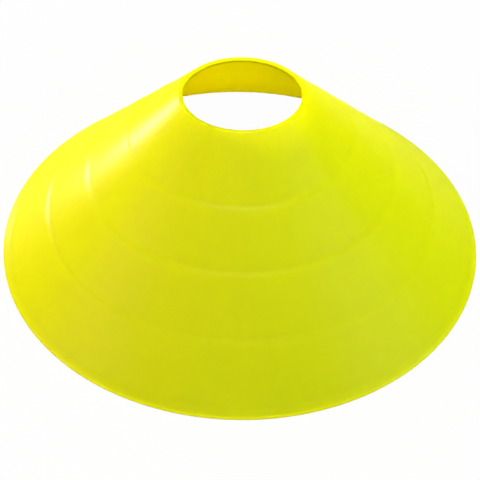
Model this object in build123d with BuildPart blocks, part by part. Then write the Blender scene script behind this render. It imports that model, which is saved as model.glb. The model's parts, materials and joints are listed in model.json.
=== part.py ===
from build123d import *
import os
from math import atan, cos, sin, tan

# A low training cone for marking out a pitch: one thin shell moulded in soft plastic, open
# underneath, with a round hole at the top. Millimetres, axis on Z, foot standing on z = 0.

# Driving dimensions
base_diameter = 190.0
height = 66.5
hole_diameter = 43.0
wall = 1.3
lip_width = 1.5  # flat top face round the hole
collar_width = 18.4  # plain band between the lip and the first ring, measured along the radius
ring_count = 3  # soft steps moulded into the wall, evenly spaced from the collar to the rim
ring_width = 1.5  # width of a ring, measured along the radius
ring_ease = 0.7  # slope of a ring, as a share of the slope of the bands
rim_width = 3.5  # flared rim above the foot, measured along the radius
rim_ease = 0.75  # slope of the rim, as a share of the slope of the bands
foot_edge = 0.5  # upright edge that the rim ends in
edge_round = 0.25  # rounding of the lip and foot edges

# Radii that follow from them
base_radius = base_diameter / 2
hole_radius = hole_diameter / 2
lip_radius = hole_radius + lip_width
rim_radius = base_radius - rim_width
ring_spacing = (rim_radius - lip_radius - collar_width) / ring_count
band_width = ring_spacing - ring_width

# The bands share one slope, which carries the wall from the lip to the foot
bands_run = collar_width + ring_count * band_width
eased_run = ring_count * ring_width * ring_ease + rim_width * rim_ease
slope = (height - foot_edge) / (bands_run + eased_run)
band_angle = atan(slope)
ring_angle = atan(slope * ring_ease)
rim_angle = atan(slope * rim_ease)

# The two corners of a ring are rounded alike and leave a fifth of it straight between them
straight_share = 0.2
corner_reach = ring_width / cos(ring_angle) * (1 - straight_share) / 2
ring_round = corner_reach / tan((band_angle - ring_angle) / 2)

# Runs of the wall from the lip to the foot, as (width along the radius, angle of fall)
runs = [(collar_width, band_angle)]
for ring in range(ring_count):
    runs += [(ring_width, ring_angle), (band_width, band_angle)]
runs.append((rim_width, rim_angle))


def inside_corner(radius, level, angle_above, angle_below):
    """Corner of the inside face, one wall thickness from the two runs that meet outside it."""
    reach = wall / cos((angle_above - angle_below) / 2)
    mean_angle = (angle_above + angle_below) / 2
    return (radius - reach * sin(mean_angle), level - reach * cos(mean_angle))


# Corners of both faces, as (radius, height): down the outside, and up the inside
outside_corners = []
inside_corners = []
radius = lip_radius
level = height
for (run, angle), (_, next_angle) in zip(runs, runs[1:]):
    radius += run
    level -= run * tan(angle)
    outside_corners.append((radius, level))
    inside_corners.insert(0, inside_corner(radius, level, angle, next_angle))

# Once round the section of the wall, from the hole over the lip, down the outside, under the
# foot and back up the inside, with the rounding of each corner
foot_inner_radius = base_radius + foot_edge / tan(rim_angle) - wall / sin(rim_angle)
lip_corners = [(hole_radius, height), (lip_radius, height)]
foot_corners = [(base_radius, foot_edge), (base_radius, 0), (foot_inner_radius, 0)]
collar_corners = [inside_corner(lip_radius, height, 0, band_angle), (hole_radius, height - wall)]
section_corners = lip_corners + outside_corners + foot_corners + inside_corners + collar_corners
section_rounds = (
    [edge_round] * len(lip_corners)
    + [ring_round] * len(outside_corners)
    + [edge_round] * len(foot_corners)
    + [ring_round] * len(inside_corners)
    + [edge_round] * len(collar_corners)
)

os.makedirs("parts", exist_ok=True)

# Cone shell: the whole object, turned from the section of its wall
with BuildPart() as cone_shell:
    with BuildSketch(Plane.XZ):
        with BuildLine():
            FilletPolyline(*section_corners, radius=section_rounds, close=True)
        make_face()
    revolve(axis=Axis.Z)

cone_shell.part.label = "cone_shell"
export_step(cone_shell.part, "parts/cone_shell.step")
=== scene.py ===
import json
import math

import bpy
from mathutils import Euler, Matrix, Vector


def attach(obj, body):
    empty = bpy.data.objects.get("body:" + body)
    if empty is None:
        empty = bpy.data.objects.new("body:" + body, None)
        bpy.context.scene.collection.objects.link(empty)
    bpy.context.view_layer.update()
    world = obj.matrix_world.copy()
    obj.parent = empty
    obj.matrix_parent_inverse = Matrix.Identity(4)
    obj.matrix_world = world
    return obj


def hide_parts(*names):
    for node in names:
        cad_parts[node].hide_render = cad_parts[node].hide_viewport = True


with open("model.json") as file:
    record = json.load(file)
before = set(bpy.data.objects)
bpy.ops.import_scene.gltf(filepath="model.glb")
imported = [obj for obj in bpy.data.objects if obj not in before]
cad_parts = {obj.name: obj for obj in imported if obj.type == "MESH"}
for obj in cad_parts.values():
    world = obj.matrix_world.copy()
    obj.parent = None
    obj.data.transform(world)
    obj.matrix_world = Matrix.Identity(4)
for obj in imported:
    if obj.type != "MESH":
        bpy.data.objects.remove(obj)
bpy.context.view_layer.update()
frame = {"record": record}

# Cone shell. The whole object is this one piece: a thin low cone, injection moulded in soft
# low-density polyethylene between a turned core and a turned cavity, so its rings run true all
# round. It stands on its lower edge, and the hole at the top takes the rod of a carrier.
MM = 0.001
record = frame["record"]
mounts = {mount["name"]: mount for mount in record["mounts"]}
base_radius = record["size"]["bbox_m"][0] / 2
shell_height = record["size"]["bbox_m"][2]
hole_radius = mounts["carrying_hole"]["dims"]["r_mm"] * MM
wall = 1.3 * MM
lip_width = 1.5 * MM
collar_width = 18.4 * MM
ring_count = 3
ring_width = 1.5 * MM
ring_ease = 0.7  # slope of a ring, as a share of the slope of the bands
rim_width = 3.5 * MM
rim_ease = 0.75  # slope of the rim, as a share of the slope of the bands
straight_share = 0.2  # what is left of a ring between its two rounded corners
foot_edge = 0.5 * MM
edge_round = 0.25 * MM

lip_radius = hole_radius + lip_width
rim_radius = base_radius - rim_width
ring_spacing = (rim_radius - lip_radius - collar_width) / ring_count
band_width = ring_spacing - ring_width
bands_run = collar_width + ring_count * band_width
eased_run = ring_count * ring_width * ring_ease + rim_width * rim_ease
slope = (shell_height - foot_edge) / (bands_run + eased_run)
band_angle = math.atan(slope)
ring_angle = math.atan(slope * ring_ease)
rim_angle = math.atan(slope * rim_ease)
corner_reach = ring_width / math.cos(ring_angle) * (1 - straight_share) / 2
ring_round = corner_reach / math.tan((band_angle - ring_angle) / 2)

runs = [(collar_width, band_angle)]
for ring in range(ring_count):
    runs += [(ring_width, ring_angle), (band_width, band_angle)]
runs.append((rim_width, rim_angle))


def inside_corner(radius, level, angle_above, angle_below):
    """Corner of the inside face, one wall thickness from the two runs that meet outside it."""
    reach = wall / math.cos((angle_above - angle_below) / 2)
    mean_angle = (angle_above + angle_below) / 2
    return (radius - reach * math.sin(mean_angle), level - reach * math.cos(mean_angle))


outside_corners = []
inside_corners = []
radius, level = lip_radius, shell_height
for (run, angle), (_, next_angle) in zip(runs, runs[1:]):
    radius += run
    level -= run * math.tan(angle)
    outside_corners.append((radius, level))
    inside_corners.insert(0, inside_corner(radius, level, angle, next_angle))
foot_inner_radius = base_radius + foot_edge / math.tan(rim_angle) - wall / math.sin(rim_angle)
lip_corners = [(hole_radius, shell_height), (lip_radius, shell_height)]
foot_corners = [(base_radius, foot_edge), (base_radius, 0), (foot_inner_radius, 0)]
collar_corners = [
    inside_corner(lip_radius, shell_height, 0, band_angle),
    (hole_radius, shell_height - wall),
]
rounded_corners = (
    [(corner, edge_round) for corner in lip_corners]
    + [(corner, ring_round) for corner in outside_corners]
    + [(corner, edge_round) for corner in foot_corners]
    + [(corner, ring_round) for corner in inside_corners]
    + [(corner, edge_round) for corner in collar_corners]
)


def rounded_section(corners, arc_steps, longest_run):
    """Closed outline through the corners, each rounded by its own radius, long runs divided."""
    outline = []
    for index, (corner, rounding) in enumerate(corners):
        here = Vector(corner)
        before = (Vector(corners[index - 1][0]) - here).normalized()
        after = (Vector(corners[(index + 1) % len(corners)][0]) - here).normalized()
        half_angle = before.angle(after) / 2
        reach = rounding / math.tan(half_angle)
        centre = here + (before + after).normalized() * rounding / math.sin(half_angle)
        start = (here + before * reach - centre).normalized()
        end = (here + after * reach - centre).normalized()
        for step in range(arc_steps + 1):
            outline.append(centre + start.slerp(end, step / arc_steps) * rounding)
    divided = []
    for index, point in enumerate(outline):
        following = outline[(index + 1) % len(outline)]
        run = following - point
        pieces = max(1, math.ceil(run.length / longest_run))
        divided += [point + run * piece / pieces for piece in range(pieces)]
    return divided


def turned_mesh(name, section, sectors):
    """Mesh of a closed section turned once round the Z axis."""
    verts = []
    for sector in range(sectors):
        angle = 2 * math.pi * sector / sectors
        across, along = math.cos(angle), math.sin(angle)
        verts += [(radius * across, radius * along, level) for radius, level in section]
    count = len(section)
    faces = []
    for sector in range(sectors):
        near = sector * count
        far = (sector + 1) % sectors * count
        for point in range(count):
            beside = (point + 1) % count
            faces.append((near + point, near + beside, far + beside, far + point))
    mesh = bpy.data.meshes.new(name)
    mesh.from_pydata(verts, [], faces)
    mesh.shade_smooth()
    return mesh


shell_section = rounded_section(rounded_corners, arc_steps=5, longest_run=2 * MM)
shell_mesh = turned_mesh("cone_shell_moulding", shell_section, sectors=360)
shell = bpy.data.objects.new("cone_shell_moulding", shell_mesh)
bpy.context.collection.objects.link(shell)


def linear(hex_colour):
    """Linear RGBA of an sRGB hex colour."""
    channels = [int(hex_colour[at : at + 2], 16) / 255 for at in (1, 3, 5)]
    return [c / 12.92 if c <= 0.04045 else ((c + 0.055) / 1.055) ** 2.4 for c in channels] + [1]


def add_node(tree, kind, inputs=None, **properties):
    """Adds a node with its properties, and sets each input or links it to another's output."""
    node = tree.nodes.new(kind)
    for name, value in properties.items():
        setattr(node, name, value)
    for name, value in (inputs or {}).items():
        if isinstance(value, bpy.types.NodeSocket):
            tree.links.new(value, node.inputs[name])
        else:
            node.inputs[name].default_value = value
    return node


# Polyethylene is clouded, not opaque: light goes into the thin wall, spreads and comes out on both
# faces, so the inside glows as yellow as the outside is. The mould gives it a satin skin with flow
# lines out from the hole, turning marks, a fine grain and the slight waves of a soft wall.
polyethylene = bpy.data.materials.new("moulded_yellow_polyethylene")
polyethylene.use_nodes = True
tree = polyethylene.node_tree
tree.nodes.clear()
place = add_node(tree, "ShaderNodeTexCoord").outputs["Object"]

# Flow lines out from the hole, in colour only
line_length = 60 * MM
line_width = 4 * MM
width_radius = 60 * MM  # where the lines have that width, half way down the wall
flat = add_node(tree, "ShaderNodeVectorMath", {0: place, 1: (1, 1, 0)}, operation="MULTIPLY")
bearing = add_node(tree, "ShaderNodeVectorMath", {0: flat.outputs["Vector"]}, operation="NORMALIZE")
lines_round = {0: bearing.outputs["Vector"], "Scale": width_radius / line_width}
lines_round = add_node(tree, "ShaderNodeVectorMath", lines_round, operation="SCALE")
flow = {0: place, 1: [1 / line_length] * 3, 2: lines_round.outputs["Vector"]}
flow = add_node(tree, "ShaderNodeVectorMath", flow, operation="MULTIPLY_ADD").outputs["Vector"]
flow_lines = add_node(tree, "ShaderNodeTexNoise", {"Vector": flow, "Scale": 1.0, "Detail": 2.0})
tint = {0: flow_lines.outputs["Fac"], 6: linear("#FCE500"), 7: linear("#FAE100")}
tint = add_node(tree, "ShaderNodeMix", tint, data_type="RGBA").outputs[2]

# Clouds between glossier and duller skin
cloud_size = 10 * MM
glossiest = 0.28
dullest = 0.4
clouds = add_node(tree, "ShaderNodeTexNoise", {"Vector": place, "Scale": 1 / cloud_size, "Detail": 3.0})
dullness = {"Value": clouds.outputs["Fac"], "From Min": 0.3, "From Max": 0.7}
dullness.update({"To Min": glossiest, "To Max": dullest})
dullness = add_node(tree, "ShaderNodeMapRange", dullness).outputs["Result"]

# Waves, grain and turning marks, each a bump on the one before. The real grain is about 0.1 mm and
# would not show, so it is drawn coarser, and so is the feed of the turning tool.
wave_length = 22 * MM
wave_depth = 0.2 * MM
grain_size = 0.9 * MM
grain_depth = 0.016 * MM
mark_pitch = 1 * MM
mark_depth = 0.004 * MM
radians_a_unit = 20  # how far the wave texture turns in one unit at a scale of 1
waves = add_node(tree, "ShaderNodeTexNoise", {"Vector": place, "Scale": 1 / wave_length, "Detail": 1.0})
skin = {"Height": waves.outputs["Fac"], "Distance": wave_depth}
skin = add_node(tree, "ShaderNodeBump", skin).outputs["Normal"]
grain = add_node(tree, "ShaderNodeTexNoise", {"Vector": place, "Scale": 1 / grain_size, "Detail": 1.0})
skin = {"Height": grain.outputs["Fac"], "Distance": grain_depth, "Normal": skin}
skin = add_node(tree, "ShaderNodeBump", skin).outputs["Normal"]
turning = {"Vector": place, "Scale": 2 * math.pi / (radians_a_unit * mark_pitch)}
turning = add_node(tree, "ShaderNodeTexWave", turning, wave_type="RINGS", rings_direction="Z")
skin = {"Height": turning.outputs["Fac"], "Distance": mark_depth, "Normal": skin}
skin = add_node(tree, "ShaderNodeBump", skin).outputs["Normal"]

# The satin gloss is a weak coat. Red light spreads 17 mm in the plastic, green nearly as far and
# blue less than 2 mm, so both faces of the thin wall take on one deep yellow.
red_spread = 17 * MM
plastic = add_node(
    tree,
    "ShaderNodeBsdfPrincipled",
    {
        "Base Color": tint,
        "Roughness": dullness,
        "Normal": skin,
        "Specular IOR Level": 0.0,
        "Coat Weight": 0.17,
        "Coat Roughness": 0.3,
        "Coat IOR": 1.51,
        "Coat Normal": skin,
        "Subsurface Weight": 1.0,
        "Subsurface Radius": (1.0, 0.8, 0.1),
        "Subsurface Scale": red_spread,
    },
)
add_node(tree, "ShaderNodeOutputMaterial", {"Surface": plastic.outputs["BSDF"]})
shell_mesh.materials.append(polyethylene)

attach(shell, "root")
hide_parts("cone_shell")

# Floor: a plain sheet of matt pale paper, much larger than the cone. The lens sees it nearly
# white, with a little of the shade by the foot, and quite white from the white radius on.
floor_half = 1.0
white_radius = 0.35
white_in_hole = 0.98
white_by_foot = 0.93
floor_mesh = bpy.data.meshes.new("floor")
floor_corners = [(-1, -1, 0), (1, -1, 0), (1, 1, 0), (-1, 1, 0)]
floor_mesh.from_pydata([Vector(corner) * floor_half for corner in floor_corners], [], [(0, 1, 2, 3)])
floor = bpy.data.objects.new("floor", floor_mesh)
bpy.context.collection.objects.link(floor)

paper = bpy.data.materials.new("matt_pale_paper")
paper.use_nodes = True
tree = paper.node_tree
tree.nodes.clear()
lens = add_node(tree, "ShaderNodeLightPath").outputs["Is Camera Ray"]
place = add_node(tree, "ShaderNodeNewGeometry").outputs["Position"]
from_axis = add_node(tree, "ShaderNodeVectorMath", {0: place}, operation="LENGTH").outputs["Value"]
inner = {"Value": from_axis, "From Min": foot_inner_radius, "From Max": base_radius}
inner.update({"To Min": white_in_hole, "To Max": white_by_foot})
inner = add_node(tree, "ShaderNodeMapRange", inner).outputs["Result"]
outer = {"Value": from_axis, "From Min": base_radius, "From Max": white_radius}
outer.update({"To Min": white_by_foot, "To Max": 1.0})
outer = add_node(tree, "ShaderNodeMapRange", outer).outputs["Result"]
whiteness = add_node(tree, "ShaderNodeMath", {0: inner, 1: outer}, operation="MAXIMUM").outputs[0]
share = add_node(tree, "ShaderNodeMath", {0: lens, 1: whiteness}, operation="MULTIPLY").outputs[0]
sheet = add_node(tree, "ShaderNodeBsdfDiffuse", {"Color": linear("#C0C0C0")}).outputs["BSDF"]
white = {"Color": linear("#FFFFFF"), "Strength": 1.0}
white = add_node(tree, "ShaderNodeEmission", white).outputs["Emission"]
mixed = add_node(tree, "ShaderNodeMixShader", {0: share, 1: sheet, 2: white})
add_node(tree, "ShaderNodeOutputMaterial", {"Surface": mixed.outputs["Shader"]})
floor_mesh.materials.append(paper)

# Light: soft boxes overhead, on the left and on the right, in a room that is pale in front of the
# cone, dark behind it and white to the lens. The small low box makes the streak on the left. The
# lamp behind has a grid, so its narrow beam lights the back wall and mostly misses the outlines.
front_brightness = 0.93
rear_brightness = 0.1
world = bpy.data.worlds.new("pale_room")
world.use_nodes = True
tree = world.node_tree
tree.nodes.clear()
toward = add_node(tree, "ShaderNodeTexCoord").outputs["Generated"]
rearward = add_node(tree, "ShaderNodeSeparateXYZ", {0: toward}).outputs["Y"]
brightness = {"Value": rearward, "From Min": -1.0, "From Max": 1.0}
brightness.update({"To Min": front_brightness, "To Max": rear_brightness})
brightness = add_node(tree, "ShaderNodeMapRange", brightness).outputs["Result"]
lens = add_node(tree, "ShaderNodeLightPath").outputs["Is Camera Ray"]
brightness = add_node(tree, "ShaderNodeMath", {0: brightness, 1: lens}, operation="MAXIMUM").outputs[0]
room = add_node(tree, "ShaderNodeBackground", {"Color": linear("#FFFFFF"), "Strength": brightness})
add_node(tree, "ShaderNodeOutputWorld", {"Surface": room.outputs["Background"]})
bpy.context.scene.world = world

# Azimuth, elevation and spread in degrees, distance, width and height in metres, watts and colour
lamps = {
    "soft_box_overhead": (270, 82, 180, 0.9, 0.6, 0.4, 7.8, "#FFFFFF"),
    "soft_box_left": (198, 26, 180, 0.9, 0.6, 0.3, 3.4, "#FFB4A0"),
    "small_box_low_left": (140, 8, 180, 0.9, 0.12, 0.12, 5.0, "#FFECE8"),
    "gridded_lamp_behind": (90, 2.9, 20, 0.45, 0.04, 0.02, 0.021, "#FFF2DC"),
    "soft_box_right": (340, 28, 180, 0.9, 0.6, 0.45, 2.4, "#E4FFDC"),
}
aim = Vector((0, 0, shell_height / 2))
for name, (azimuth, elevation, spread, distance, width, height, power, colour) in lamps.items():
    light = bpy.data.lights.new(name, "AREA")
    light.shape = "RECTANGLE"
    light.size = width
    light.size_y = height
    light.spread = math.radians(spread)
    light.energy = power
    light.color = linear(colour)[:3]
    lamp = bpy.data.objects.new(name, light)
    round_axis = Matrix.Rotation(math.radians(azimuth), 3, "Z")
    upward = Matrix.Rotation(math.radians(-elevation), 3, "Y")
    away = round_axis @ upward @ Vector((1, 0, 0))
    lamp.location = aim + away * distance
    lamp.rotation_euler = (-away).to_track_quat("-Z", "Y").to_euler()
    bpy.context.collection.objects.link(lamp)

# Camera: a short telephoto looking down at the front of the cone, with its horizon tipped a
# little, which is the photograph's viewpoint.
focal_pixels = 972.4
image_pixels = 480
look_down = math.radians(44.28)
tip = math.radians(0.91)
camera_back = 287.8 * MM
camera_height = 273.2 * MM
camera_data = bpy.data.cameras.new("camera")
camera_data.sensor_width = 36
camera_data.lens = camera_data.sensor_width * focal_pixels / image_pixels
camera = bpy.data.objects.new("camera", camera_data)
camera.location = (0, -camera_back, camera_height)
level_view = Euler((math.pi / 2 - look_down, 0, 0)).to_matrix()
camera.rotation_euler = (level_view @ Matrix.Rotation(tip, 3, "Z")).to_euler()
bpy.context.collection.objects.link(camera)
bpy.context.scene.camera = camera
bpy.context.scene.view_settings.view_transform = "Standard"
